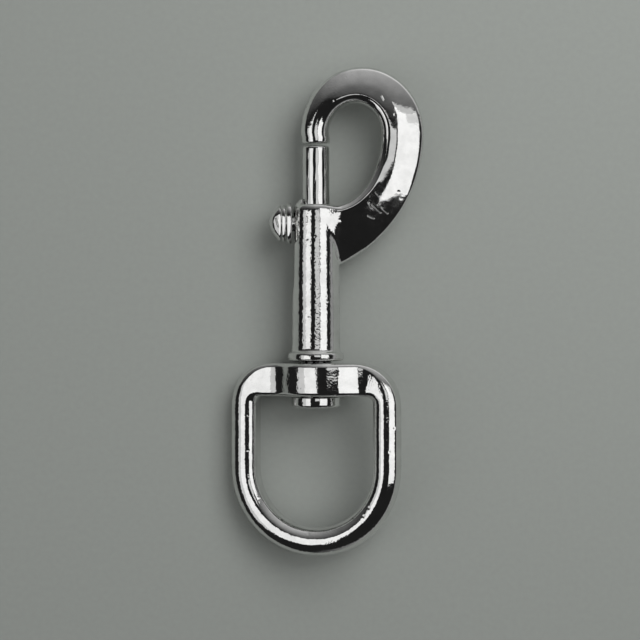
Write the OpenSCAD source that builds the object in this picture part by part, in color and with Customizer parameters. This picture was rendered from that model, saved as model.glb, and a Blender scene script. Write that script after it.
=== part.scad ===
// Swivel snap hook: a cast hook with a hollow barrel, a sprung bolt that closes the
// hook's mouth, and a strap loop that turns on a stud under the barrel.
// X runs across the hook, Y along the barrel towards the crown of the hook, and Z up
// from the surface that the snap lies on. The barrel's axis is parallel to Y.

/* [Barrel] */
// Length of the barrel from the foot of its collar to its top rim
barrel_len = 30.5; // [28:0.5:36]
// Diameter of the barrel just under its top rim
barrel_top_d = 9.0; // [8.6:0.1:11]
// Diameter of the barrel just above its collar
barrel_foot_d = 9.5; // [8.8:0.1:10.6]
// Diameter of the collar that bears on the loop
collar_d = 11.0; // [10.8:0.1:13]
// Height of the collar
collar_h = 1.7; // [1:0.1:2.5]
// Rounding of the barrel's top rim
rim_round = 0.5; // [0.2:0.1:0.7]
// Height of the small lip beside the bolt, over the slot
lip_h = 1.2; // [0.6:0.1:1.6]

/* [Bolt] */
// Diameter of the sliding bolt
bolt_d = 5.3; // [4.8:0.1:5.6]
// Radial running clearance of the bolt in its bore
bolt_fit = 0.08; // [0.03:0.01:0.1]
// Distance from the barrel's rim to the nose of the hook, which the bolt closes
mouth = 11.85; // [9:0.25:14]
// Gap between the closed bolt and the nose of the hook
nose_gap = 0.45; // [0.3:0.05:0.8]
// Length of the bolt that stays in the barrel below the knob's stem when it is closed
bolt_tail = 4.5; // [4:0.25:6]
// Rounding of both ends of the bolt
bolt_round = 0.4; // [0.2:0.1:0.6]

/* [Thumb knob] */
// Depth of the knob's stem below the barrel's rim with the bolt closed
knob_drop = 3.7; // [3.2:0.1:5]
// Diameter of the knob's stem
stem_d = 3.0; // [2.4:0.1:3.4]
// Clearance of the stem at each side and each end of the barrel's slot
stem_gap = 0.15; // [0.1:0.05:0.3]
// Depth of the stem in the bolt, past the bolt's axis
stem_bite = 1.2; // [0.8:0.1:1.5]
// Diameter of the knob's flange beside the barrel
flange_d = 8.2; // [7:0.1:9]
// Thickness of the flange
flange_t = 0.6; // [0.5:0.1:1]
// Gap between the barrel's side and the flange
flange_gap = 0.5; // [0.3:0.05:0.8]
// Diameter of the knob's grooves and of the ring between them
ring_d = 5.6; // [5:0.1:6.4]
// Diameter of the knob's domed cap
cap_d = 6.4; // [5.8:0.1:7]
// Height of the domed cap
cap_h = 2.3; // [2:0.1:2.8]
// Slope of the thumb face cut across the cap
thumb_slope = 18; // [12:1:24]

/* [Hook] */
// Reach of the hook from the barrel's axis to its outermost edge
hook_reach = 21.0; // [20:0.5:26]
// Clear width of the hook's eye beside the nose
eye_w = 10.2; // [8.5:0.1:11.5]
// Clear height of the eye above the end of the nose
eye_rise = 7.85; // [6.5:0.25:10]
// Radius of the round nose
nose_r = 2.75; // [2.6:0.05:3]
// Width of the crown of the hook
crown_w = 7.1; // [6:0.1:9]
// Thickness of the crown
crown_t = 6.8; // [6:0.1:8]
// Thickness of the hook's back
back_t = 7.4; // [6.4:0.1:8.4]
// Thickness of the web where it meets the barrel
web_t = 5.6; // [4.6:0.1:6.6]
// How far the web runs down the barrel below the rim
web_drop = 11.6; // [9:0.2:13]
// How far each side of the web spreads where it runs into the barrel
web_flare = 1.0; // [0:0.1:1.4]

/* [Swivel] */
// Diameter of the stud's shank
stud_d = 6.0; // [5.6:0.1:6.2]
// Radial running clearance of the loop on the shank
swivel_fit = 0.1; // [0.05:0.01:0.1]
// Depth of the shank in the barrel
stud_bite = 4.0; // [3:0.25:5]
// Diameter of the stud's peened head
head_d = 9.6; // [8.6:0.1:10.6]
// Height of the head
head_h = 2.05; // [1.5:0.05:2.6]
// End play between the collar and the loop
collar_play = 0.39; // [0.3:0.01:0.6]
// End play between the loop and the head
head_play = 0.19; // [0.15:0.01:0.4]

/* [Spring] */
// Diameter of the spring's wire
wire_d = 0.55; // [0.45:0.05:0.6]
// Clearance between the spring and the bore
spring_gap = 0.28; // [0.2:0.02:0.4]
// Number of turns of the spring
spring_turns = 9; // [7:0.5:9]

/* [Loop] */
// Outer width of the loop
loop_w = 34.0; // [32:0.2:40]
// Length of the loop from the top of its crossbar to its lowest point
loop_len = 37.6; // [35:0.1:46]
// Width of the loop's bar, seen from the front
bar_w = 5.4; // [4.8:0.1:6]
// Depth of the loop's bar, front to back
bar_t = 6.0; // [5.6:0.1:7]
// Rounding of the bar's outer edges
bar_outer_round = 2.75; // [2:0.05:2.75]
// Rounding of the bar's inner edges
bar_inner_round = 1.6; // [1.2:0.1:1.9]
// Height of the crossbar that the stud passes through
crossbar_h = 6.45; // [5.6:0.05:7.5]
// Rounding of the crossbar's edges
crossbar_round = 1.1; // [0.8:0.1:1.3]
// Radius of the loop's upper corners, outside
corner_r = 8.4; // [7:0.1:9.5]
// Radius of the upper corners of the loop's opening
opening_r = 1.2; // [0.8:0.1:2.4]
// Depth of the boss round the stud, front to back
boss_t = 13.0; // [12.2:0.2:13.2]
// Radius of the boss's front and back faces
boss_r = 10.3; // [9.6:0.1:11]
// Radius of the fillets between the boss and the crossbar
boss_fillet = 3.0; // [2:0.1:3.4]
// Turn of the loop about the barrel as it lies, right side raised
loop_turn = 15; // [8:1:20]

/* [Hidden] */
$fn = 64;
tiny = 0.01;

// Heights along the barrel, from the foot of the collar
nose_y = barrel_len + mouth;
bolt_top_y = nose_y - nose_gap;
bolt_travel = bolt_top_y - barrel_len;
knob_y = barrel_len - knob_drop;
bolt_foot_y = knob_y - bolt_tail;
loop_top_y = -collar_play;
loop_foot_y = loop_top_y - loop_len;
head_top_y = loop_top_y - crossbar_h - head_play;
bore_d = bolt_d + 2 * bolt_fit;
barrel_r_at_knob = barrel_top_d / 2 + (barrel_foot_d - barrel_top_d) / 2 * knob_drop / barrel_len;

// The hook's inner and outer outlines: half ellipses over the eye, quarter ellipses below
nose_straight = 1.95;
crown_y = nose_y + nose_straight;
eye_left = nose_r - 0.2;
eye_x = eye_left + eye_w / 2;
eye_right = eye_left + eye_w;
eye_top_y = nose_y + eye_rise;
outer_left = -nose_r - 0.25;
outer_x = (hook_reach + outer_left) / 2;
web_root_x = barrel_top_d * 0.4;
web_sink = 0.5;
flare_from = 0.75;
web_centre_x = -6;
function web_angle(x) = acos((x - web_centre_x) / (hook_reach - web_centre_x));
web_ry = (mouth + nose_straight + web_drop) / sin(web_angle(barrel_foot_d / 2));
lip_angle = 70;
lip_step = 0.1;
collar_round = 0.3;

// Small turned details of the knob, and the spring's seats
groove_w = 0.28;
groove_depth = 0.5;
ring_t = 0.7;
seat_gap = 0.02;
coil_steps = 16;
wire_sides = 8;

crown_steps = 24;
web_steps = 18;
ring_points = 28;
crossbar_steps = 16;
corner_steps = 8;
foot_steps = 14;
bar_steps = 5;

// The loop's lowest edge sets the height of the axis over the surface
loop_half = loop_w / 2;
edge_x = loop_half - bar_outer_round;
edge_z = bar_t / 2 - bar_outer_round;
axis_z = edge_x * sin(loop_turn) + edge_z * cos(loop_turn) + bar_outer_round;
loop_left = edge_x * cos(loop_turn) + edge_z * sin(loop_turn) + bar_outer_round;
axis_x = (loop_left - hook_reach) / 2;
crown_top_y = eye_top_y + crown_w;
foot_y = -(crown_top_y + loop_foot_y) / 2;

// A shape drawn with its axis on Z is laid along the barrel, its Z to the part's Y
module along_barrel() {
    translate([axis_x, foot_y, axis_z]) rotate([-90, 0, 0]) children();
}

// A shape drawn in the plane of the hook, X across and Y along the barrel
module on_axis() {
    translate([axis_x, foot_y, axis_z]) children();
}

// The waste of a rounded corner: its arc is centred here and faces +X and +Y
module corner_waste(r) {
    difference() {
        square(r + 1);
        circle(r = r);
    }
}

// Half section of a turned rod from y0 to y1, its lower rim rounded to r0, its upper to r1
module rod_section(d, y0, y1, r0, r1) {
    difference() {
        translate([0, y0]) square([d / 2, y1 - y0]);
        translate([d / 2 - r0, y0 + r0]) mirror([0, 1]) corner_waste(r0);
        translate([d / 2 - r1, y1 - r1]) corner_waste(r1);
    }
}

function mix(a, b, t) = a + (b - a) * t;

// Stations of the hook: [inner point, outer point, half thickness, bias, fullness]
// Bias moves the thickest line towards the eye, and fullness squares the section up.
function station(inner, outer, half_t, bias, full) = [inner, outer, half_t, bias, full];

nose_rings = [
    for (s = [[0, 0.45], [0.13, 0.13], [0.45, 0], [1.2, 0]])
        station([nose_r - s[1], nose_y + s[0]], [-nose_r + s[1], nose_y + s[0]], nose_r - s[1], 0, 1)
];

crown_rings = [
    for (i = [0:crown_steps])
        let (t = i / crown_steps, a = 180 * (1 - t), grow = min(1, t * 2.5))
        station(
            [eye_x + eye_w / 2 * cos(a), crown_y + (eye_top_y - crown_y) * sin(a)],
            [outer_x + (hook_reach - outer_left) / 2 * cos(a), crown_y + (crown_top_y - crown_y) * sin(a)],
            mix(mix(nose_r, crown_t / 2, grow), back_t / 2, max(0, t * 2 - 1)),
            0.35 * grow, mix(1, 0.8, grow))
];

web_rings = [
    for (i = [1:web_steps])
        let (t = i / web_steps, a = -90 * t, b = -web_angle(web_root_x) * t, flare = max(0, t - flare_from))
        station(
            [web_root_x + (eye_right - web_root_x) * cos(a), crown_y + (crown_y - barrel_len + web_sink) * sin(a)],
            [web_centre_x + (hook_reach - web_centre_x) * cos(b), crown_y + web_ry * sin(b)],
            mix(back_t, web_t, t) / 2 + web_flare * pow(flare / (1 - flare_from), 2), 0.35, 0.8)
];

// One closed ring of a station, in the plane through its two points and Z
function ring(s) = [
    for (j = [0:ring_points - 1])
        let (a = 360 * j / ring_points, across = (1 - cos(a)) / 2, lift = pow(abs(sin(a)), s[4]))
        [
            mix(s[0].x, s[1].x, across),
            mix(s[0].y, s[1].y, across),
            sign(sin(a)) * s[2] * lift * (1 + s[3] * cos(a))
        ]
];

// Half depth of the loop at x across its crossbar: the boss, its fillet, then the flat bar
boss_z = boss_t / 2 - boss_r;
fillet_z = bar_t / 2 + boss_fillet;
fillet_x = sqrt(pow(boss_r + boss_fillet, 2) - pow(fillet_z - boss_z, 2));
boss_edge_x = fillet_x * boss_r / (boss_r + boss_fillet);
function crossbar_depth(x) =
    abs(x) < boss_edge_x ? boss_z + sqrt(boss_r * boss_r - x * x)
    : abs(x) < fillet_x ? fillet_z - sqrt(boss_fillet * boss_fillet - pow(fillet_x - abs(x), 2))
    : bar_t / 2;

// Stations of the loop: [inner point, outer point, inner rounding, outer rounding, on the crossbar]
function bar_station(inner, outer, t, crossbar) =
    [inner, outer, mix(crossbar_round, bar_inner_round, t), mix(crossbar_round, bar_outer_round, t), crossbar];

opening_w = loop_w - 2 * bar_w;
opening_x = opening_w / 2 - opening_r;
opening_y = loop_top_y - crossbar_h;
corner_x = loop_half - corner_r;
arc_y = loop_foot_y + loop_half;

// Right half of the loop, from the middle of its crossbar round to the middle of its foot
half_loop = [
    for (i = [0:crossbar_steps]) let (t = i / crossbar_steps)
        bar_station([opening_x * t, opening_y], [corner_x * t, loop_top_y], 0, true),
    for (i = [1:corner_steps]) let (t = i / corner_steps, a = 90 * (1 - t))
        bar_station(
            [opening_x + opening_r * cos(a), opening_y - opening_r * (1 - sin(a))],
            [corner_x + corner_r * cos(a), loop_top_y - corner_r * (1 - sin(a))],
            t, true),
    for (i = [0:foot_steps]) let (a = -90 * i / foot_steps)
        bar_station(
            [opening_w / 2 * cos(a), arc_y + opening_w / 2 * sin(a)],
            [loop_half * cos(a), arc_y + loop_half * sin(a)],
            1, false)
];
loop_stations = [
    each half_loop,
    for (i = [len(half_loop) - 2:-1:1]) let (s = half_loop[i])
        [[-s[0].x, s[0].y], [-s[1].x, s[1].y], s[2], s[3], s[4]]
];

// One closed ring of the bar: its four corners are rounded, the inner ones less
function bar_ring(s) =
    let (length = norm(s[1] - s[0]))
    [
        for (q = [0:3], k = [0:bar_steps])
            let (
                a = 90 * (q + k / bar_steps),
                outside = q == 1 || q == 2,
                r = outside ? s[3] : s[2],
                across = (outside ? length - r : r) - r * cos(a),
                p = mix(s[0], s[1], across / length),
                depth = s[4] ? crossbar_depth(p.x) : bar_t / 2)
            [p.x, p.y, (q < 2 ? 1 : -1) * (depth - r) + r * sin(a)]
    ];

// A solid skinned over rings of points, closed flat at both ends or run round into itself
module skin(rings, endless = false) {
    n = len(rings[0]);
    total = n * len(rings);
    spans = endless ? len(rings) : len(rings) - 1;
    sides = [
        for (i = [0:spans - 1], j = [0:n - 1])
            let (a = i * n + j, b = i * n + (j + 1) % n, c = (b + n) % total, d = (a + n) % total)
            each [[a, b, c], [a, c, d]]
    ];
    near = [for (j = [n - 1:-1:0]) j];
    far = [for (j = [0:n - 1]) total - n + j];
    polyhedron([for (r = rings) each r], endless ? sides : concat(sides, [near, far]));
}

// The barrel's outside: a tapered tube with a rounded rim, a collar and the lip by the slot
module barrel() {
    top_r = barrel_top_d / 2;
    foot_r = barrel_foot_d / 2;
    rotate_extrude() difference() {
        polygon([
            [0, 0], [collar_d / 2, 0], [collar_d / 2, collar_h],
            [foot_r, collar_h], [top_r, barrel_len], [0, barrel_len]
        ]);
        translate([top_r - rim_round, barrel_len - rim_round]) corner_waste(rim_round);
        translate([collar_d / 2 - collar_round, collar_h - collar_round]) corner_waste(collar_round);
    }
    rotate([0, 0, 180 - lip_angle / 2]) rotate_extrude(angle = lip_angle)
        translate([bore_d / 2 + lip_step, barrel_len - rim_round])
            polygon([[0, 0], [top_r - bore_d / 2 - lip_step, 0], [0, lip_h + rim_round]]);
}

// The slot that the knob's stem travels in, with round ends, open on the left
module stem_slot() {
    slot_r = stem_d / 2 + stem_gap;
    translate([-collar_d, 0, 0]) rotate([0, 90, 0]) linear_extrude(collar_d) {
        for (y = [knob_y, knob_y - bolt_travel]) translate([-y, 0]) circle(r = slot_r);
        translate([-knob_y, -slot_r]) square([bolt_travel, 2 * slot_r]);
    }
}

// One casting: barrel, collar, web, hook and nose
module hook_body() {
    color("silver") difference() {
        union() {
            along_barrel() barrel();
            on_axis() skin([for (s = concat(nose_rings, crown_rings, web_rings)) ring(s)]);
        }
        along_barrel() {
            translate([0, 0, stud_bite - tiny]) cylinder(h = nose_y - nose_gap - stud_bite, d = bore_d);
            translate([0, 0, -tiny]) cylinder(h = stud_bite + tiny, d = stud_d);
            stem_slot();
        }
    }
}

// The sliding bolt, cross-drilled for the knob's stem
module latch_bolt() {
    color("gainsboro") along_barrel() difference() {
        rotate_extrude() rod_section(bolt_d, bolt_foot_y, bolt_top_y, bolt_round, bolt_round);
        translate([stem_bite, 0, knob_y]) rotate([0, -90, 0]) cylinder(h = bolt_d, d = stem_d);
    }
}

// The knob: stem, flange, ring and a domed cap with a sloping thumb face
module thumb_knob() {
    flange_h = barrel_r_at_knob + flange_gap;
    ring_h = flange_h + flange_t + groove_w;
    cap_base = ring_h + ring_t + groove_w;
    dome_r = (cap_d * cap_d / 4 + cap_h * cap_h) / (2 * cap_h);
    color("whitesmoke") translate([axis_x, foot_y + knob_y, axis_z]) rotate([0, -90, 0]) difference() {
        union() {
            translate([0, 0, -stem_bite]) cylinder(h = stem_bite + flange_h + tiny, d = stem_d);
            rotate_extrude() rod_section(flange_d, flange_h, flange_h + flange_t, flange_t / 3, flange_t / 3);
            translate([0, 0, flange_h]) cylinder(h = cap_base - flange_h + tiny, d = ring_d - 2 * groove_depth);
            rotate_extrude() rod_section(ring_d, ring_h, ring_h + ring_t, ring_t / 4, ring_t / 4);
            intersection() {
                translate([0, 0, cap_base]) cylinder(h = cap_h, d = cap_d);
                translate([0, 0, cap_base + cap_h - dome_r]) sphere(r = dome_r);
            }
        }
        translate([-cap_d, cap_d * 0.19, cap_base + cap_h * 0.9]) rotate([thumb_slope, 0, 0])
            translate([0, -2 * cap_d, 0]) cube([2 * cap_d, 4 * cap_d, cap_h]);
    }
}

// Height of the spring's wire after t turns: one closed turn at each end, even between
function coil_y(t, low, high, closed) =
    t < 1 ? low + closed * t
    : t > spring_turns - 1 ? high - closed * (spring_turns - t)
    : mix(low + closed, high - closed, (t - 1) / (spring_turns - 2));

// The return spring, between the stud's end and the bolt's tail
module return_spring() {
    coil_r = bore_d / 2 - spring_gap - wire_d / 2;
    low = stud_bite + wire_d / 2 + seat_gap;
    high = bolt_foot_y - wire_d / 2 - seat_gap;
    color("lightsteelblue") along_barrel() skin([
        for (i = [0:round(spring_turns * coil_steps)])
            let (turn = i / coil_steps, a = 360 * turn, y = coil_y(turn, low, high, wire_d * 1.1))
            [
                for (j = [0:wire_sides - 1])
                    let (b = 360 * j / wire_sides, r = coil_r + wire_d / 2 * cos(b))
                    [r * cos(a), r * sin(a), y + wire_d / 2 * sin(b)]
            ]
    ]);
}

// The stud: a shank held in the barrel's foot and a head peened under the loop
module swivel_stud() {
    color("gainsboro") along_barrel() {
        translate([0, 0, head_top_y - tiny]) cylinder(h = stud_bite - head_top_y + tiny, d = stud_d);
        rotate_extrude() rod_section(head_d, head_top_y - head_h, head_top_y, head_h * 0.3, head_h * 0.08);
    }
}

// One casting: crossbar and boss, side bars and the round foot
module swivel_loop() {
    color("silver") on_axis() rotate([0, -loop_turn, 0]) difference() {
        skin([for (s = loop_stations) bar_ring(s)], endless = true);
        translate([0, loop_top_y + 1, 0]) rotate([90, 0, 0])
            cylinder(h = crossbar_h + 2, d = stud_d + 2 * swivel_fit);
    }
}

hook_body();
latch_bolt();
thumb_knob();
return_spring();
swivel_stud();
swivel_loop();
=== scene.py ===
# Swivel snap hook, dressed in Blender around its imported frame.
# Shapes are drawn in millimetres, with the barrel's axis on Y and the foot of its collar at
# zero, and then laid in the frame, which is in metres.
import math

import bmesh
import bpy
from mathutils import Matrix, Vector


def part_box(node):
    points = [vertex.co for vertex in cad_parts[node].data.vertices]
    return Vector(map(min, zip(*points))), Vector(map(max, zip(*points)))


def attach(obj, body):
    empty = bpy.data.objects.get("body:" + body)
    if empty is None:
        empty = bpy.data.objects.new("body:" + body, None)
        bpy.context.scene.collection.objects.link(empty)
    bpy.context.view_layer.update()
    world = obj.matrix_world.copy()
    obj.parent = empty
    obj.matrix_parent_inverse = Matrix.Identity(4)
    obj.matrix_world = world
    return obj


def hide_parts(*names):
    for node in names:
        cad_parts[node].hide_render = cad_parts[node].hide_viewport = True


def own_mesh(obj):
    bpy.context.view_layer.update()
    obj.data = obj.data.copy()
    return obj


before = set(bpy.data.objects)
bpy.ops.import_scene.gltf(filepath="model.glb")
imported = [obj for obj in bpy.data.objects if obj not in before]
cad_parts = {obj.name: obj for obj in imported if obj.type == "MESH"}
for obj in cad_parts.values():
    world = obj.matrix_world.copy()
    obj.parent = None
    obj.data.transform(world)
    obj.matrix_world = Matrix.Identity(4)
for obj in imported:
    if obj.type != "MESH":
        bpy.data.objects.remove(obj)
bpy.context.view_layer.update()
boltLow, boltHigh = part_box("latch_bolt")
axisX = (boltLow.x + boltHigh.x) / 2
axisZ = (boltLow.z + boltHigh.z) / 2
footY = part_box("hook_body")[0].y
onAxis = Matrix.Translation((axisX, footY, axisZ)) @ Matrix.Diagonal((0.001, 0.001, 0.001, 1))
print("frame loaded, barrel axis at", round(axisX, 5), round(axisZ, 5))


# shared helpers

weldGap = 0.0005           # vertices nearer than this, in millimetres, are one
cutSharpAngle = 38         # in degrees, an edge sharper than this stays crisp on a piece that is cut


def mix(a, b, t):
    return a + (b - a) * t


def growRing(bm, ring, place):
    # extrudes a closed ring of vertices and puts new vertex number i where place(i) says
    count = len(ring)
    edges = [bm.edges.get((ring[i], ring[(i + 1) % count])) for i in range(count)]
    made = bmesh.ops.extrude_edge_only(bm, edges=edges)
    fresh = {item for item in made["geom"] if isinstance(item, bmesh.types.BMVert)}
    grown = []
    for vert in ring:
        grown.append(next(edge.other_vert(vert) for edge in vert.link_edges if edge.other_vert(vert) in fresh))
    for i, vert in enumerate(grown):
        vert.co = place(i)
    return grown


def closeRing(bm, ring):
    # a flat cap with a smaller ring inside it, so that it subdivides evenly
    cap = bm.faces.new(ring)
    bmesh.ops.inset_individual(bm, faces=[cap], thickness=0.45, use_even_offset=True)
    bmesh.ops.poke(bm, faces=[cap])


def finishPiece(bm, name, settings, place=onAxis, cutters=()):
    # welds and orients the mesh, subdivides it, cuts it, and lays it in the frame
    bmesh.ops.remove_doubles(bm, verts=bm.verts, dist=weldGap)
    bmesh.ops.recalc_face_normals(bm, faces=bm.faces)
    for face in bm.faces:
        face.smooth = True
    mesh = bpy.data.meshes.new(name)
    bm.to_mesh(mesh)
    bm.free()
    piece = bpy.data.objects.new(name, mesh)
    bpy.context.scene.collection.objects.link(piece)
    if settings.get("levels"):
        smooth = piece.modifiers.new("smooth", "SUBSURF")
        smooth.levels = smooth.render_levels = settings["levels"]
    for cutter in cutters:
        cut = piece.modifiers.new("cut", "BOOLEAN")
        cut.operation = "DIFFERENCE"
        cut.solver = "EXACT"
        cut.object = cutter
    if piece.modifiers:
        bpy.context.view_layer.update()
        shaped = piece.evaluated_get(bpy.context.evaluated_depsgraph_get())
        piece.data = bpy.data.meshes.new_from_object(shaped)
        piece.modifiers.clear()
        bpy.data.meshes.remove(mesh)
    piece.data.name = name
    piece.data.transform(place)
    for polygon in piece.data.polygons:
        polygon.use_smooth = True
    if cutters or settings.get("sharpAngle"):
        piece.data.set_sharp_from_angle(angle=math.radians(settings.get("sharpAngle", cutSharpAngle)))
    for cutter in cutters:
        bpy.data.objects.remove(cutter)
    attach(piece, settings["body"])
    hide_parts(settings["node"])
    print("made", name, "with", len(piece.data.polygons), "faces")
    return piece


def drillBit(radius, start, end):
    # a round cutter between two points, in millimetres
    bm = bmesh.new()
    along = Vector(end) - Vector(start)
    turn = along.to_track_quat("Z", "Y").to_matrix().to_4x4()
    middle = Matrix.Translation((Vector(start) + Vector(end)) / 2)
    bmesh.ops.create_cone(bm, cap_ends=True, segments=64, radius1=radius, radius2=radius,
                          depth=along.length, matrix=middle @ turn)
    mesh = bpy.data.meshes.new("drillBit")
    bm.to_mesh(mesh)
    bm.free()
    cutter = bpy.data.objects.new("drillBit", mesh)
    bpy.context.scene.collection.objects.link(cutter)
    return cutter


def halfSection(width, halfDepth, angles, radii):
    # points (across, up) of the upper half of a rounded section, one for each normal in angles,
    # which run from one flank over the top to the other; radii lists (angle that it ends at, radius),
    # and a radius of None fills the width; where none is None, all are scaled to fill it
    def radiusAt(angle):
        return next(radius for end, radius in radii if angle <= end + 0.01)

    def sines(a, b):
        return math.sin(math.radians(b)) - math.sin(math.radians(a))

    stops = [-90] + angles + [90]
    spans = list(zip(stops[:-1], stops[1:]))
    fixed = sum((radiusAt(b) or 0) * sines(a, b) for a, b in spans)
    free = sum(sines(a, b) for a, b in spans if radiusAt(b) is None)
    filler = (width - fixed) / free if free else 0
    scale = 1 if free else width / fixed
    points, across, up = [], 0.0, 0.0
    for a, b in spans[:-1]:
        radius = radiusAt(b)
        radius = filler if radius is None else radius * scale
        across += radius * sines(a, b)
        up += radius * (math.cos(math.radians(b)) - math.cos(math.radians(a)))
        points.append([across, up])
    top = max(point[1] for point in points)
    return [(point[0], max(point[1] - top + halfDepth, 0.05)) for point in points]


def mixSections(first, second, t):
    return [(mix(a[0], b[0], t), mix(a[1], b[1], t)) for a, b in zip(first, second)]


def mapRange(tree, value, low, high, toLow, toHigh):
    node = tree.nodes.new("ShaderNodeMapRange")
    for socket, number in (("From Min", low), ("From Max", high), ("To Min", toLow), ("To Max", toHigh)):
        node.inputs[socket].default_value = number
    tree.links.new(value, node.inputs["Value"])
    return node.outputs["Result"]


def arith(tree, operation, *operands):
    # a Math node whose operands are numbers or sockets
    node = tree.nodes.new("ShaderNodeMath")
    node.operation = operation
    for socket, operand in zip(node.inputs, operands):
        if isinstance(operand, (int, float)):
            socket.default_value = operand
        else:
            tree.links.new(operand, socket)
    return node.outputs["Value"]


def mixColors(tree, factor, first, second):
    # between two colours, each a tuple or a socket
    node = tree.nodes.new("ShaderNodeMix")
    node.data_type = "RGBA"
    tree.links.new(factor, node.inputs["Factor"])
    for socket, color in ((node.inputs["A"], first), (node.inputs["B"], second)):
        if isinstance(color, tuple):
            socket.default_value = (*color, 1)
        else:
            tree.links.new(color, socket)
    return node.outputs["Result"]


def shaded(color, share):
    return tuple(part * share for part in color)


# finishes

def plated(name, finish):
    # bright nickel plate over a surface that is rippled, pitted and worn as finish says
    material = bpy.data.materials.new(name)
    material.use_nodes = True
    tree = material.node_tree
    nodes, links = tree.nodes, tree.links
    shader = nodes["Principled BSDF"]
    shader.inputs["Metallic"].default_value = 1.0
    shader.inputs["IOR"].default_value = 1.5
    place = nodes.new("ShaderNodeTexCoord")
    along = nodes.new("ShaderNodeSeparateXYZ")
    links.new(place.outputs["Object"], along.inputs["Vector"])
    inMillimetres = nodes.new("ShaderNodeMapping")
    inMillimetres.inputs["Scale"].default_value = [1000 * part for part in finish.get("grain", (1, 1, 1))]
    links.new(place.outputs["Object"], inMillimetres.inputs["Vector"])

    def noise(size, detail=2.0, rough=0.5):
        node = nodes.new("ShaderNodeTexNoise")
        node.inputs["Scale"].default_value = 1 / size
        node.inputs["Detail"].default_value = detail
        node.inputs["Roughness"].default_value = rough
        links.new(inMillimetres.outputs["Vector"], node.inputs["Vector"])
        return node.outputs["Fac"]

    def bump(height, depth, before=None):
        # depth is in millimetres
        node = nodes.new("ShaderNodeBump")
        node.inputs["Strength"].default_value = 1.0
        node.inputs["Distance"].default_value = depth * 0.001
        links.new(height, node.inputs["Height"])
        if before is not None:
            links.new(before, node.inputs["Normal"])
        return node.outputs["Normal"]

    def fromScratch(x0, y0, x1, y1):
        # distance from a short line on the drawing, cut through the upper half of the piece
        lay = nodes.new("ShaderNodeMapping")
        lay.vector_type = "TEXTURE"
        lay.inputs["Location"].default_value = (
            axisX * 1000 + (x0 + x1) / 2, footY * 1000 + (y0 + y1) / 2, axisZ * 1000 + finish["scratchHeight"])
        lay.inputs["Rotation"].default_value = (0, 0, math.atan2(y1 - y0, x1 - x0))
        links.new(inMillimetres.outputs["Vector"], lay.inputs["Vector"])
        value = lay.outputs["Vector"]
        halfSize = Vector((math.hypot(x1 - x0, y1 - y0) / 2, 0, finish["scratchReach"]))
        steps = (("ABSOLUTE", None), ("SUBTRACT", halfSize), ("MAXIMUM", Vector((0, 0, 0))), ("LENGTH", None))
        for operation, operand in steps:
            step = nodes.new("ShaderNodeVectorMath")
            step.operation = operation
            links.new(value, step.inputs[0])
            if operand is not None:
                step.inputs[1].default_value = operand
            value = step.outputs["Value" if operation == "LENGTH" else "Vector"]
        return value

    cloudy = mapRange(tree, noise(finish["cloudSize"], 3), 0.35, 0.6, 0, 1)
    tone = mixColors(tree, cloudy, shaded(finish["color"], finish["cloudShade"]), finish["color"])
    if "paintedShadeAbove" in finish:
        # painted shade: a near-black colour above a height on the drawing, so that what stands in narrow gaps looks
        # dark
        edge = footY + finish["paintedShadeAbove"] * 0.001
        paintedShadeMask = mapRange(tree, along.outputs["Y"], edge - 0.0001, edge + 0.0001, 0, 1)
        tone = mixColors(tree, paintedShadeMask, tone, finish["paintedShadeColor"])
    links.new(tone, shader.inputs["Base Color"])
    worn = mapRange(tree, noise(finish["wearSize"], 4, 0.6), 0.35, 0.7, *finish["roughness"])
    links.new(worn, shader.inputs["Roughness"])

    normal = bump(noise(finish["rippleSize"], 0), finish["rippleDepth"])
    speckle = noise(finish["speckleSize"], 0)
    if "smoothAbove" in finish:
        # the plate is smoother above a height on the drawing, and beside the barrel
        height, side = footY + finish["smoothAbove"] * 0.001, axisX + finish["smoothBeyond"] * 0.001
        below = mapRange(tree, along.outputs["Y"], height - 0.002, height + 0.002, 1, 0.35)
        inside = mapRange(tree, along.outputs["X"], side - 0.001, side + 0.001, 1, 0.15)
        speckle = arith(tree, "MULTIPLY", speckle, arith(tree, "MINIMUM", below, inside))
    normal = bump(speckle, finish["speckleDepth"], normal)
    if finish.get("pitDepth"):
        cells = nodes.new("ShaderNodeTexVoronoi")
        cells.inputs["Scale"].default_value = 1 / finish["pitSpacing"]
        links.new(inMillimetres.outputs["Vector"], cells.inputs["Vector"])
        normal = bump(mapRange(tree, cells.outputs["Distance"], 0.0, 0.16, 0, 1), finish["pitDepth"], normal)
    if finish.get("scratches"):
        nearest = fromScratch(*finish["scratches"][0])
        for scratch in finish["scratches"][1:]:
            nearest = arith(tree, "MINIMUM", nearest, fromScratch(*scratch))
        normal = bump(mapRange(tree, nearest, 0.04, 0.2, 0, 1), finish["scratchDepth"], normal)
    if finish.get("seam"):
        # the fine line left by the die, at a height above the axis
        off = arith(tree, "SUBTRACT", along.outputs["Z"], axisZ + finish["seam"] * 0.001)
        line = mapRange(tree, arith(tree, "ABSOLUTE", off), 0.0, finish["seamWidth"] * 0.001, 1, 0)
        normal = bump(line, finish["seamDepth"], normal)
    links.new(normal, shader.inputs["Normal"])
    return material


# sizes and depths are in millimetres
castPlate = {
    "color": (0.80, 0.80, 0.79), "cloudSize": 2.4, "cloudShade": 0.9, "roughness": (0.03, 0.11), "wearSize": 0.9,
    "rippleSize": 1.6, "rippleDepth": 0.03, "speckleSize": 0.34, "speckleDepth": 0.009,
    "pitSpacing": 2.6, "pitDepth": 0.04, "scratchHeight": 4, "scratchReach": 3.5,
}

# hook and barrel: one casting, on a ring of columns round the barrel

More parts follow.
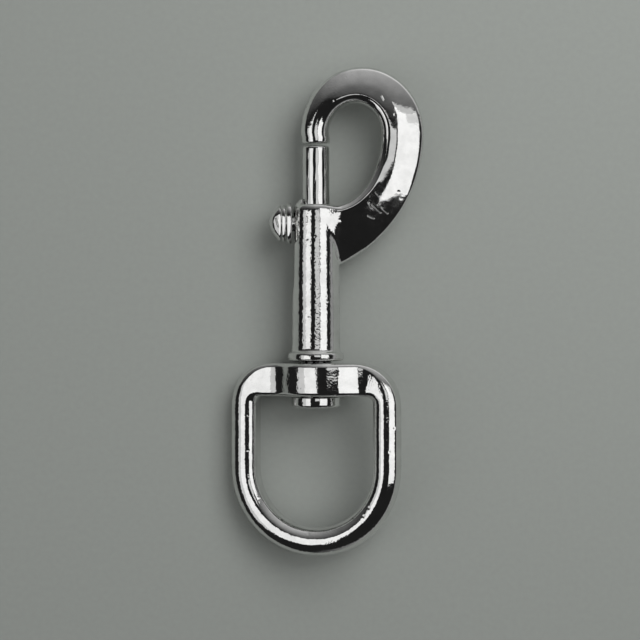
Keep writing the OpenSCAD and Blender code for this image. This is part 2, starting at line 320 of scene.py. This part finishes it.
hookSettings = {
    "body": "hook", "node": "hook_body", "slot": "plated_casting", "levels": 2,
    "columns": 32,
    # normals of the hook's section from the eye's side to the outer side, closer on its top face
    "angles": [-84, -73, -62, -51, -40, -29, -18, -7, 3, 11, 15, 20, 26, 33, 45, 58, 71, 84],
    "armRadii": [(-51, 1.6), (-40, 2.6), (-29, 2.0), (-18, 0.8), (-7, 1.5), (3, 5.0), (11, 8.0),
                 (26, None), (33, 3.0), (45, 1.5), (90, 0.9)],
    # the web has a nearly flat face, with a point of its section for each row of its joint
    "webAngles": [-82, -62, -42, -22, -2, 9, 11, 12, 13, 14, 15, 16, 17, 18, 19, 32, 52, 74],
    "webRadii": [(-42, 1.3), (-22, 1.6), (-2, 0.8), (9, 1.0), (11, 3.0), (19, None), (32, 1.2), (90, 0.9)],
    "crownRadii": [(-51, 1.8), (-29, 2.2), (-7, 1.1), (3, 1.5), (26, None), (33, 2.2), (45, 2.0), (90, 1.3)],
    # angle on the barrel at which each row of the web's joint begins, from the rim down
    "jointAngles": [62, 62, 60, 57, 52, 44, 35, 29, 23.5, 18.5, 14],
    "barrelFootRadius": 4.75, "barrelTopRadius": 4.5, "barrelLength": 30.5,
    "faceRadius": 4.0, "rimRadius": 4.48, "collarRadius": 5.5, "collarHeight": 1.7,
    "boreRadius": 2.73, "socketRadius": 3.0, "socketDepth": 4.0,
    # the slot: half its width, then (half width, reach past its centre) of its corners and its tips
    "slotTop": 26.8, "slotFoot": 15.4, "slotRows": (27.8, 13.8),
    "slotHalf": 1.72, "slotCorner": (1.32, 1.3), "slotTip": (0.55, 1.82),
    # the lip over the slot: (radius, height) for the rings at the rim
    "lip": [(2.80, 31.2), (2.98, 31.72), (3.3, 31.5), (4.36, 30.2)],
    # half of the angle round the barrel that each takes up
    "lipSpread": 30, "slotSpread": 18, "webSpread": 42, "rimJointAngle": 56, "fixedAngle": 100.0,
    "eyeCentre": (7.65, 44.3), "eyeRadii": (5.1, 5.9),
    "crownCentre": (9.0, 44.3), "crownSize": (12.0, 13.0),
    "webInnerCentre": (3.6, 44.3), "webInnerRadii": (9.15, 14.0),
    "webOuterCentre": (-6.0, 44.3), "webOuterRadii": (27.0, 27.7), "webOuterSweep": 69.2,
    "noseRadius": 2.75, "noseEnd": 42.35,
}


def buildHook(h):
    columns = h["columns"]
    angles = [math.radians(360 / columns * (k + 0.5)) for k in range(columns)]
    # a subdivided ring lies a little inside its corners
    swell = 3 / (2 + math.cos(2 * math.pi / columns))

    def barrelRadius(y):
        share = (y - h["collarHeight"]) / (h["barrelLength"] - h["collarHeight"])
        return mix(h["barrelFootRadius"], h["barrelTopRadius"], share)

    def onBarrel(radius, angle, y):
        return Vector((radius * swell * math.cos(angle), y, radius * swell * math.sin(angle)))

    def near(middle, spread):
        # columns that stand within spread of an angle, in degrees
        return [k for k in range(columns) if abs((math.degrees(angles[k]) - middle + 180) % 360 - 180) < spread]

    length, boreRadius = h["barrelLength"], h["boreRadius"]
    collarRadius, collarHeight = h["collarRadius"], h["collarHeight"]
    socketRadius, socketDepth = h["socketRadius"], h["socketDepth"]
    webRows = [length - 0.55, 28.9, 27.8, 26.7, 25.6, 24.5, 23.4, 22.3, 21.2, 20.1, 18.95]
    shaftRows = [17.8, 16.6, 15.4, 13.8, 12.2, 10.2, 8.0, 5.6, 3.4]
    # the barrel's half section, as (radius, height)
    top = [(boreRadius, length - 0.3), (boreRadius + 0.3, length), (h["faceRadius"], length)]
    outside = [(h["rimRadius"], webRows[0])] + [(barrelRadius(y), y) for y in webRows[1:] + shaftRows]
    collar = [(barrelRadius(2), collarHeight + 0.35), (collarRadius - 0.5, collarHeight + 0.05),
              (collarRadius - 0.25, collarHeight), (collarRadius, collarHeight - 0.3), (collarRadius, 0.3),
              (collarRadius - 0.3, 0.0), (socketRadius + 0.3, 0.0)]
    socket = [(socketRadius, 0.3), (socketRadius, 1.6), (socketRadius, 3.0), (socketRadius, socketDepth - 0.1),
              (socketRadius - 0.15, socketDepth), (boreRadius, socketDepth + 0.15)]
    bore = [(boreRadius, y) for y in reversed(webRows[1:] + shaftRows[:-1])]
    profile = top + outside + collar + socket + bore

    bm = bmesh.new()
    start = bmesh.ops.create_circle(bm, segments=columns, radius=boreRadius)["verts"]
    for angle, vert in zip(angles, start):
        vert.co = onBarrel(profile[0][0], angle, profile[0][1])
    rows = [start]
    for radius, y in profile[1:]:
        rows.append(growRing(bm, rows[-1], lambda i: onBarrel(radius, angles[i], y)))
    last = growRing(bm, rows[-1], lambda i: start[i].co)
    bmesh.ops.weld_verts(bm, targetmap=dict(zip(last, start)))

    for k in near(180, h["lipSpread"]):
        for row, (radius, y) in zip(rows, h["lip"]):
            row[k].co = onBarrel(radius, angles[k], y)

    # the slot goes through the wall on the knob's side
    slotColumns = near(180, h["slotSpread"])
    slotHigh, slotLow = h["slotRows"]
    firstOut = len(top) + webRows.index(slotHigh)
    lastOut = len(top) + len(webRows) + shaftRows.index(slotLow)
    beforeBore = len(profile) - len(bore)
    firstIn = beforeBore + bore.index((boreRadius, slotLow))
    lastIn = beforeBore + bore.index((boreRadius, slotHigh))

    def slotLoop(rowNumbers):
        # down one side and up the other, from the top
        down = [rows[r][slotColumns[0]] for r in rowNumbers]
        up = [rows[r][slotColumns[-1]] for r in reversed(rowNumbers)]
        foot = [rows[rowNumbers[-1]][k] for k in slotColumns[1:-1]]
        head = [rows[rowNumbers[0]][k] for k in reversed(slotColumns[1:-1])]
        return down + foot + up + head

    outRows = list(range(firstOut, lastOut + 1))
    inRows = list(range(lastIn, firstIn - 1, -1))
    for rowNumbers, radiusOf in ((outRows, barrelRadius), (inRows, lambda y: boreRadius)):
        region = {rows[r][k] for r in rowNumbers for k in slotColumns}
        doomed = [face for face in bm.faces if all(vert in region for vert in face.verts)]
        bmesh.ops.delete(bm, geom=doomed, context="FACES")
        for r in rowNumbers:
            for k in (slotColumns[0], slotColumns[1], slotColumns[-2], slotColumns[-1]):
                vert = rows[r][k]
                if not vert.is_valid:
                    continue
                side = 1 if angles[k] < math.pi else -1
                half, reach = h["slotCorner" if k in (slotColumns[0], slotColumns[-1]) else "slotTip"]
                if r == rowNumbers[0]:
                    y = h["slotTop"] + reach
                elif r == rowNumbers[-1]:
                    y = h["slotFoot"] - reach
                else:
                    half, y = h["slotHalf"], vert.co.y
                radius = radiusOf(y) * swell
                vert.co = Vector((-math.sqrt(radius ** 2 - half ** 2), y, side * half))
    outLoop, inLoop = slotLoop(outRows), slotLoop(inRows)
    ring = outLoop
    for share in (0.12, 0.5, 0.88, 1.0):
        ring = growRing(bm, ring, lambda i: outLoop[i].co.lerp(inLoop[i].co, share))
    bmesh.ops.weld_verts(bm, targetmap=dict(zip(ring, inLoop)))

    # the hook grows out of an opening on the other side
    webColumns = near(0, h["webSpread"])
    above = sorted(k for k in webColumns if k < columns / 2)
    below = sorted((k for k in webColumns if k > columns / 2), reverse=True)
    topRow, webRowNumbers = len(top) - 1, list(range(len(top), len(top) + len(webRows)))
    region = {rows[r][k] for r in [topRow] + webRowNumbers for k in webColumns}
    doomed = [face for face in bm.faces if all(vert in region for vert in face.verts)]
    half = len(h["angles"])
    upper = [rows[topRow][k] for k in above] + [rows[r][above[-1]] for r in webRowNumbers] \
        + [rows[webRowNumbers[-1]][k] for k in reversed(above[:-1])]
    lower = [rows[topRow][k] for k in below] + [rows[r][below[-1]] for r in webRowNumbers] \
        + [rows[webRowNumbers[-1]][k] for k in reversed(below[:-1])]
    bmesh.ops.delete(bm, geom=doomed, context="FACES")
    # the opening is wide at the top, where the web is thick, and the columns beside it make room
    edgeAngle, fixedAngle = math.degrees(angles[above[-1]]), h["fixedAngle"]
    targets = [h["rimJointAngle"]] + h["jointAngles"]
    for number, rowNumber in enumerate(range(topRow, webRowNumbers[-1] + 3)):
        if number < len(targets):
            target = targets[number]
        else:
            target = mix(h["jointAngles"][-1], edgeAngle, (number - len(webRows)) / 3)
        for k in range(columns):
            vert = rows[rowNumber][k]
            side = 1 if angles[k] < math.pi else -1
            angle = math.degrees(angles[k] if side > 0 else 2 * math.pi - angles[k])
            if not vert.is_valid or angle > fixedAngle:
                continue
            if angle <= edgeAngle + 0.1:
                slid = angle / edgeAngle * target
            else:
                slid = mix(target, fixedAngle, (angle - edgeAngle) / (fixedAngle - edgeAngle))
            radius, y = profile[rowNumber]
            vert.co = onBarrel(radius, math.radians(slid) * side, y)
    # its foot curves down a little in the middle
    for part in (upper, lower):
        for i, vert in enumerate(part[len(above) + len(webRows):]):
            vert.co.y -= 0.05 * (i + 1)
    loop = upper + list(reversed(lower))

    def ellipse(centre, radii, degrees):
        a = math.radians(degrees)
        return Vector((centre[0] + radii[0] * math.cos(a), centre[1] + radii[1] * math.sin(a)))

    stations = []          # (inner point, outer point, half section)
    webSteps = [(0.915, 0.958), (0.895, 0.945), (0.86, 0.915), (0.81, 0.86), (0.755, 0.79)] \
        + [(s / 20, s / 20) for s in range(14, 0, -1)]
    for innerT, outerT in webSteps:
        inner = ellipse(h["webInnerCentre"], h["webInnerRadii"], -90 * innerT)
        outer = ellipse(h["webOuterCentre"], h["webOuterRadii"], -h["webOuterSweep"] * outerT)
        width = (outer - inner).length
        ridge = mix(3.9, 3.6, min(1, innerT / 0.8))
        flat = min(1, max(0, (innerT - 0.18) / 0.42))
        section = mixSections(halfSection(width, ridge, h["angles"], h["armRadii"]),
                              halfSection(width, ridge, h["webAngles"], h["webRadii"]), flat)
        stations.append((inner, outer, section))
    crownSteps = 26
    for i in range(crownSteps + 1):
        angle = 180 * i / crownSteps
        inner = ellipse(h["eyeCentre"], h["eyeRadii"], angle)
        outer = ellipse(h["crownCentre"], h["crownSize"], angle)
        width = (outer - inner).length
        ridge = mix(3.9, 3.55, min(1, i / crownSteps * 2))
        section = mixSections(halfSection(width, ridge, h["angles"], h["armRadii"]),
                              halfSection(width, ridge, h["angles"], h["crownRadii"]), min(1, angle / 60))
        tip = max(0, (angle - 110) / 70)
        roundNose = halfSection(width, width / 2, h["angles"], [(90, 1)])
        section = mixSections(section, roundNose, tip * tip * (3 - 2 * tip))
        stations.append((inner, outer, section))
    nose = h["noseRadius"]
    for rise, shrink in ((1.2, 0), (0.5, 0), (0.18, 0.06), (0.0, 0.32), (0.0, 0.8)):
        inner, outer = Vector((nose - shrink, h["noseEnd"] + rise)), Vector((-nose + shrink, h["noseEnd"] + rise))
        stations.append((inner, outer, halfSection(2 * (nose - shrink), nose - shrink, h["angles"], [(90, 1)])))

    roundSwell = 3 / (2 + math.cos(math.radians(10)))
    for inner, outer, section in stations:
        width = (outer - inner).length
        across = (outer - inner) / width
        middle = width / 2

        def place(i):
            j, side = (i, 1) if i < half else (2 * half - 1 - i, -1)
            s, z = section[j]
            point = inner + across * (middle + (s - middle) * roundSwell)
            return Vector((point.x, point.y, z * roundSwell * side))

        loop = growRing(bm, loop, place)
    closeRing(bm, loop)
    return finishPiece(bm, "hookBody", h)


hookBody = buildHook(hookSettings)
hookBody.data.materials.append(plated("platedCasting", {
    **castPlate, "rippleDepth": 0.016, "speckleDepth": 0.021, "smoothAbove": 29, "smoothBeyond": 3.2,
    "seam": 1.3, "seamWidth": 0.22, "seamDepth": 0.03, "scratchDepth": 0.1,
    "scratches": [(10.1, 30.7, 10.75, 29.7), (10.95, 30.35, 12.5, 28.85), (12.75, 29.75, 13.9, 28.75),
                  (10.1, 28.2, 11.2, 27.75), (11.6, 32.7, 12.2, 32.0), (12.69, 51.36, 13.08, 50.58),
                  (-1.76, 27.93, -1.76, 26.95)],
}))

# turned pieces: a half profile is rounded at its corners and spun

def turned(profile, rounds, centre, axis, start, steps=96, segments=4):
    # profile lists (along the axis, radius), and rounds gives each corner's rounding, 0 for none
    axis, start = Vector(axis), Vector(start)
    bm = bmesh.new()
    chain = [bm.verts.new(Vector(centre) + axis * along + start * radius) for along, radius in profile]
    for a, b in zip(chain[:-1], chain[1:]):
        bm.edges.new((a, b))
    for vert, size in zip(chain, rounds):
        if size:
            bmesh.ops.bevel(bm, geom=[vert], offset=size, affect="VERTICES", segments=segments, profile=0.5,
                            material=-1)
    bmesh.ops.spin(bm, geom=list(bm.verts) + list(bm.edges), cent=centre, axis=axis, angle=2 * math.pi,
                   steps=steps, use_merge=True, use_duplicate=False)
    bmesh.ops.remove_doubles(bm, verts=bm.verts, dist=weldGap)
    return bm


boltSettings = {
    "body": "bolt", "node": "latch_bolt", "slot": "plated_bolt",
    "radius": 2.65, "foot": 22.3, "top": 41.9, "rounding": 0.4,
    "holeRadius": 1.5, "holeHeight": 26.8, "holeDepth": 1.2,
}


def buildBolt(b):
    r, gap = b["radius"], b["top"] - b["foot"]
    profile = [(0, 0), (0, r), (0.6, r), (gap * 0.5, r), (gap - 0.6, r), (gap, r), (gap, 0)]
    bm = turned(profile, [0, b["rounding"], 0, 0, 0, b["rounding"], 0], (0, b["foot"], 0), (0, 1, 0), (1, 0, 0))
    hole = drillBit(b["holeRadius"], (b["holeDepth"], b["holeHeight"], 0), (-5, b["holeHeight"], 0))
    return finishPiece(bm, "latchBolt", b, cutters=[hole])


latchBolt = buildBolt(boltSettings)
latchBolt.data.materials.append(plated("platedBolt", {
    **castPlate, "color": (0.79, 0.79, 0.78), "grain": (1, 0.12, 1),
    "rippleSize": 0.9, "rippleDepth": 0.015, "speckleSize": 0.3, "speckleDepth": 0.025, "pitDepth": 0,
}))

knobSettings = {
    "body": "bolt", "node": "thumb_knob", "slot": "plated_knob",
    "height": 26.8, "stemRadius": 1.5, "stemStart": -1.2,
    "flange": (4.76, 5.6, 4.1), "grooveRadius": 2.2, "ring": (5.90, 6.58, 3.65),
    # the cap's outline, and how far it leans towards the hook at its end
    "cap": [(6.82, 3.5), (7.1, 3.6), (7.6, 3.15), (8.0, 2.7), (8.4, 2.1), (8.8, 1.35), (9.1, 0.5), (9.14, 0)],
    "capLean": 0.25, "sharpAngle": 62,
    # the rounding at each corner of the profile, from the stem's end to the cap's
    "rounds": [0, 0.1, 0.25, 0.2, 0.26, 0.2, 0.05, 0.25, 0.25, 0.05, 0.05, 0.1, 0.15] + [0.12] * 5 + [0],
    # pressed flats: from and to along the knob, and half the thickness at each; they end crisply or softly
    "crispness": 8,
    "flats": [(4.76, 5.6, 3.35, 3.05), (5.90, 6.58, 2.95, 2.65), (6.82, 9.14, 2.65, 1.6)],
}


def buildKnob(k):
    f, r, cap = k["flange"], k["ring"], k["cap"]
    stem, groove = k["stemRadius"], k["grooveRadius"]
    profile = [(k["stemStart"], 0), (k["stemStart"], stem), (f[0], stem), (f[0], f[2]), (f[1], f[2]),
               (f[1], groove), (r[0], groove), (r[0], r[2]), (r[1], r[2]), (r[1], groove), (cap[0][0], groove)] + cap
    bm = turned(profile, k["rounds"], (0, k["height"], 0), (-1, 0, 0), (0, 1, 0), segments=3)
    for vert in bm.verts:
        for start, end, thick, thin in k["flats"]:
            along = -vert.co.x
            if start - 0.001 <= along <= end + 0.001:
                limit = mix(thick, thin, (along - start) / (end - start))
                vert.co.z *= (1 + (abs(vert.co.z) / limit) ** k["crispness"]) ** (-1 / k["crispness"])
        vert.co.y += k["capLean"] * max(0, (-vert.co.x - cap[0][0]) / (cap[-1][0] - cap[0][0]))
    return finishPiece(bm, "thumbKnob", k)


thumbKnob = buildKnob(knobSettings)
thumbKnob.data.materials.append(plated("platedKnob", {
    **castPlate, "color": (0.81, 0.81, 0.80), "pitDepth": 0,
    "scratches": [(-7.75, 27.7, -7.35, 26.1)], "scratchDepth": 0.3,
}))

studSettings = {
    "body": "hook", "node": "swivel_stud", "slot": "plated_stud",
    "shankRadius": 3.0, "shankTop": 4.0, "headRadius": 4.8, "headTop": -7.03, "headFoot": -9.08, "headRound": 0.615,
}


def buildStud(s):
    foot = s["headFoot"]
    headHeight, shankHeight = s["headTop"] - foot, s["shankTop"] - foot
    profile = [(0, 0), (0, s["headRadius"]), (headHeight, s["headRadius"]), (headHeight, s["shankRadius"]),
               (shankHeight, s["shankRadius"]), (shankHeight, 0)]
    bm = turned(profile, [0, s["headRound"], 0.2, 0.1, 0.25, 0], (0, foot, 0), (0, 1, 0), (1, 0, 0), segments=5)
    return finishPiece(bm, "swivelStud", s)


swivelStud = buildStud(studSettings)
swivelStud.data.materials.append(plated("platedStud", {
    # painted shade: the shank above the head is near black, so the narrow gaps under the collar and the crossbar
    # look dark
    **castPlate, "color": (0.78, 0.78, 0.77), "pitDepth": 0, "paintedShadeAbove": -6.8, "paintedShadeColor": (0.07, 0.07, 0.07),
}))

# return spring

springSettings = {
    "body": "hook", "node": "return_spring", "slot": "spring_wire",
    "coilRadius": 2.175, "wireRadius": 0.275, "start": 4.295, "end": 22.005, "turns": 9, "closedPitch": 0.605,
    "sidesPerTurn": 28, "seat": 4.0, "keep": 0.377,
}


def buildSpring(s):
    bm = bmesh.new()
    lay = Matrix.Translation((s["coilRadius"], s["start"], 0))
    ring = bmesh.ops.create_circle(bm, cap_ends=True, segments=12, radius=s["wireRadius"], matrix=lay)["verts"]
    edges = list({edge for vert in ring for edge in vert.link_edges})
    openPitch = (s["end"] - s["start"] - 2 * s["closedPitch"]) / (s["turns"] - 2)
    for turns, pitch in ((1, s["closedPitch"]), (s["turns"] - 2, openPitch), (1, s["closedPitch"])):
        geom = list(ring) + edges
        steps = turns * s["sidesPerTurn"]
        made = bmesh.ops.spin(bm, geom=geom, cent=(0, 0, 0), axis=(0, 1, 0), dvec=(0, pitch / s["sidesPerTurn"], 0),
                              angle=2 * math.pi * turns, steps=steps, use_merge=False, use_duplicate=False)
        ring = [item for item in made["geom_last"] if isinstance(item, bmesh.types.BMVert)]
        edges = [item for item in made["geom_last"] if isinstance(item, bmesh.types.BMEdge)]
    bmesh.ops.contextual_create(bm, geom=edges)
    spring = finishPiece(bm, "returnSpring", s)
    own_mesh(spring)
    return spring


returnSpring = buildSpring(springSettings)
returnSpring.data.materials.append(plated("springWire", {
    **castPlate, "color": (0.58, 0.58, 0.60), "roughness": (0.2, 0.35), "pitDepth": 0,
}))

# strap loop

loopSettings = {
    "body": "loop", "node": "swivel_loop", "slot": "plated_loop", "levels": 2,
    "halfWidth": 17.0, "top": -0.39, "length": 37.6, "barWidth": 5.4, "halfDepth": 3.0,
    "crossbarHeight": 6.45, "cornerRadius": 8.4, "openingRadius": 1.2,
    "bossRadius": 11.3, "bossHalfDepth": 6.4, "bossShift": 1.3, "leftFillet": 8.0, "rightFillet": 3.0,
    # normals from the outer flank to the inner one
    "angles": [-85 + 10 * i for i in range(18)],
    "crossbarRadii": [(-5, 1.0), (5, None), (90, 1.0)],
    "leftRadii": [(-35, 2.6), (-25, 4.2), (-15, 4.6), (5, 4.2), (15, 2.4), (45, 2.5), (90, 2.6)],
    "rightRadii": [(-65, 4.3), (-45, 1.3), (-25, 3.7), (-5, 3.0), (15, 2.7), (35, 3.2), (90, 2.5)],
    "partingRise": 0.05, "boreRadius": 3.1, "turn": -15,
    # rows of faces along half of the loop
    "crossbarSteps": 12, "cornerSteps": 8, "barSteps": 5, "footSteps": 15,
}


def buildLoop(p):
    bossCentre = p["bossHalfDepth"] - p["bossRadius"]

    def depthAt(x):
        # the boss is a round face with a hollow fillet on each side of it
        x -= p["bossShift"]
        fillet = p["leftFillet"] if x < 0 else p["rightFillet"]
        filletCentre = p["halfDepth"] + fillet
        filletX = math.sqrt((p["bossRadius"] + fillet) ** 2 - (filletCentre - bossCentre) ** 2)
        x = abs(x)
        if x < filletX * p["bossRadius"] / (p["bossRadius"] + fillet):
            return bossCentre + math.sqrt(p["bossRadius"] ** 2 - x * x)
        if x < filletX:
            return filletCentre - math.sqrt(fillet ** 2 - (filletX - x) ** 2)
        return p["halfDepth"]

    half, barWidth = p["halfWidth"], p["barWidth"]
    openingHalf = half - barWidth
    openingX, openingY = openingHalf - p["openingRadius"], p["top"] - p["crossbarHeight"]
    cornerX = half - p["cornerRadius"]
    arcY = p["top"] - p["length"] + half
    right = []             # (outer point, inner point, share of the bar's own section, on the crossbar)
    for i in range(p["crossbarSteps"] + 1):
        t = i / p["crossbarSteps"]
        right.append((Vector((cornerX * t, p["top"])), Vector((openingX * t, openingY)), 0, True))
    for i in range(1, p["cornerSteps"] + 1):
        t = i / p["cornerSteps"]
        a = math.radians(90 * (1 - t))
        right.append((
            Vector((cornerX + p["cornerRadius"] * math.cos(a), p["top"] - p["cornerRadius"] * (1 - math.sin(a)))),
            Vector((openingX + p["openingRadius"] * math.cos(a), openingY - p["openingRadius"] * (1 - math.sin(a)))),
            t * t * (3 - 2 * t), True))
    outerY, innerY = right[-1][0].y, right[-1][1].y
    for i in range(1, p["barSteps"]):
        t = i / p["barSteps"]
        right.append((Vector((half, mix(outerY, arcY, t))), Vector((openingHalf, mix(innerY, arcY, t))), 1, False))
    for i in range(p["footSteps"] + 1):
        a = math.radians(-90 * i / p["footSteps"])
        right.append((
            Vector((half * math.cos(a), arcY + half * math.sin(a))),
            Vector((openingHalf * math.cos(a), arcY + openingHalf * math.sin(a))), 1, False))
    flip = Vector((-1, 1))
    stations = right + [(s[0] * flip, s[1] * flip, s[2], s[3]) for s in reversed(right[1:-1])]

    swell = 3 / (2 + math.cos(math.radians(10)))
    points = len(p["angles"])

    def placer(station):
        outer, inner, share, crossbar = station
        width = (inner - outer).length
        across = (inner - outer) / width
        towardsRight = min(1, max(0, 0.5 + outer.x / 20))
        bar = mixSections(halfSection(width, p["halfDepth"], p["angles"], p["leftRadii"]),
                          halfSection(width, p["halfDepth"], p["angles"], p["rightRadii"]), towardsRight)
        section = mixSections(halfSection(width, p["halfDepth"], p["angles"], p["crossbarRadii"]), bar, share)

        def place(i):
            side = 1 if i < points + 1 else -1
            j = i - 1 if i < points + 1 else 2 * points + 1 - i
            if i == 0:
                s, z = -p["partingRise"], 0.0              # the parting line stands a little proud
            elif i == points + 1:
                s, z = width + p["partingRise"], 0.0
            else:
                s, z = section[j]
            point = outer + across * (width / 2 + (s - width / 2) * (swell if 0 < s < width else 1))
            if crossbar and z:
                z += depthAt(point.x) - p["halfDepth"]
            return Vector((point.x, point.y, z * side))

        return place

    bm = bmesh.new()
    first = bmesh.ops.create_circle(bm, segments=2 * points + 2, radius=1)["verts"]
    place = placer(stations[0])
    for i, vert in enumerate(first):
        vert.co = place(i)
    ring = first
    for station in stations[1:]:
        ring = growRing(bm, ring, placer(station))
    last = growRing(bm, ring, lambda i: first[i].co)
    bmesh.ops.weld_verts(bm, targetmap=dict(zip(last, first)))
    bore = drillBit(p["boreRadius"], (0, 5, 0), (0, openingY - 5, 0))
    turn = Matrix.Rotation(math.radians(p["turn"]), 4, "Y")
    return finishPiece(bm, "swivelLoop", p, place=onAxis @ turn, cutters=[bore])


swivelLoop = buildLoop(loopSettings)
swivelLoop.data.materials.append(plated("platedLoop", castPlate))

# floor, lights and camera

studio = {
    "floorColor": (0.325, 0.343, 0.322), "floorSize": 8.0,
    # each panel: angles from the zenith, its two ends along Y, its glow and its distance
    "panels": {
        "leftOuter": (-66, -50, -0.42, 0.12, 0.66, 0.7), "leftInner": (-50, -25, -0.42, 0.12, 1.04, 0.7),
        "right": (20, 38, -0.20, 0.28, 1.12, 0.7), "rightOuter": (38, 54, -0.20, 0.20, 1.12, 0.7),
        "rightEnd": (38, 54, 0.20, 0.28, 0.75, 0.7), "crownEnd": (20, 54, 0.28, 0.33, 0.5, 0.7),
        "overhead": (-3, 17, -0.02, 0.15, 0.70, 0.7),
    },
    # fills that no surface mirrors: one from beyond the crown, so that the floor fades towards the foot
    "fills": {"crownFill": (10, 50, 0.06, 0.44, 3.8, 0.36), "topFill": (-22, 20, -0.35, 0.25, 0.7, 0.6)},
    # the room beyond them, by direction: its own glow, its glow towards the crown (and the share of it
    # that is left on the left), and a pale band low on the right, where its wall would be
    "roomGlow": 0.014, "crownGlow": 0.5, "crownFade": (0.2, 0.95), "leftShare": 0.4, "leftFade": (-0.7, -0.05),
    "wallGlow": 0.3, "wallHeight": (0.32, 0.2), "wallFade": (-0.3, 0.4),
    "cameraDistance": 0.4, "viewWidth": 0.125, "aim": (0.00078, 0.008),
}

bm = bmesh.new()
bmesh.ops.create_grid(bm, x_segments=1, y_segments=1, size=studio["floorSize"] / 2)
floorMesh = bpy.data.meshes.new("floor")
bm.to_mesh(floorMesh)
bm.free()
floor = bpy.data.objects.new("floor", floorMesh)
bpy.context.scene.collection.objects.link(floor)
paper = bpy.data.materials.new("floorPaper")
paper.use_nodes = True
nodes, links = paper.node_tree.nodes, paper.node_tree.links
grain = nodes.new("ShaderNodeTexNoise")
grain.inputs["Scale"].default_value = 900
grain.inputs["Detail"].default_value = 3
where = nodes.new("ShaderNodeTexCoord")
links.new(where.outputs["Object"], grain.inputs["Vector"])
paperColor = studio["floorColor"]
shade = mixColors(paper.node_tree, grain.outputs["Fac"], shaded(paperColor, 0.95), shaded(paperColor, 1.05))
links.new(shade, nodes["Principled BSDF"].inputs["Base Color"])
nodes["Principled BSDF"].inputs["Roughness"].default_value = 0.9
nodes["Principled BSDF"].inputs["Specular IOR Level"].default_value = 0.1
floor.data.materials.append(paper)
print("laid the floor")


def softBox(name, low, high, yStart, yEnd, glow, distance):
    # a rectangle lamp that faces the barrel, between two angles from the zenith
    middle, spread = math.radians((low + high) / 2), math.radians(abs(high - low) / 2)
    lamp = bpy.data.lights.new(name, "AREA")
    lamp.shape = "RECTANGLE"
    lamp.size, lamp.size_y = 2 * distance * math.tan(spread), yEnd - yStart
    lamp.energy = glow * math.pi * lamp.size * lamp.size_y
    box = bpy.data.objects.new(name, lamp)
    box.location = (axisX + distance * math.sin(middle), (yStart + yEnd) / 2, axisZ + distance * math.cos(middle))
    box.rotation_euler = (0, middle, 0)
    bpy.context.scene.collection.objects.link(box)
    return box


for name, panel in studio["panels"].items():
    softBox(name, *panel)
for name, panel in studio["fills"].items():
    softBox(name, *panel).visible_glossy = False

world = bpy.data.worlds.new("studio")
bpy.context.scene.world = world
world.use_nodes = True
room = world.node_tree
sky = room.nodes.new("ShaderNodeTexCoord")
split = room.nodes.new("ShaderNodeSeparateXYZ")
room.links.new(sky.outputs["Generated"], split.inputs["Vector"])
towardsCrown = mapRange(room, split.outputs["Y"], *studio["crownFade"], 0.0, studio["crownGlow"])
fromLeft = mapRange(room, split.outputs["X"], *studio["leftFade"], studio["leftShare"], 1.0)
nearFloor = mapRange(room, split.outputs["Z"], *studio["wallHeight"], 0.0, 1.0)
toRight = mapRange(room, split.outputs["X"], *studio["wallFade"], 0.0, studio["wallGlow"])
wall = arith(room, "MULTIPLY_ADD", nearFloor, toRight, studio["roomGlow"])
glow = arith(room, "MULTIPLY_ADD", towardsCrown, fromLeft, wall)
room.links.new(glow, room.nodes["Background"].inputs["Color"])
print("set up", len(studio["panels"]) + len(studio["fills"]), "lamps and the room")

cameraData = bpy.data.cameras.new("camera")
cameraData.sensor_width = 36
cameraData.lens = 36 * studio["cameraDistance"] / studio["viewWidth"]
cameraData.clip_end = 20
camera = bpy.data.objects.new("camera", cameraData)
aimX, aimY = studio["aim"]
camera.location = (axisX + aimX, footY + aimY, axisZ + studio["cameraDistance"])
bpy.context.scene.collection.objects.link(camera)
bpy.context.scene.camera = camera
bpy.context.scene.view_settings.view_transform = "Standard"
print("camera is above the barrel")
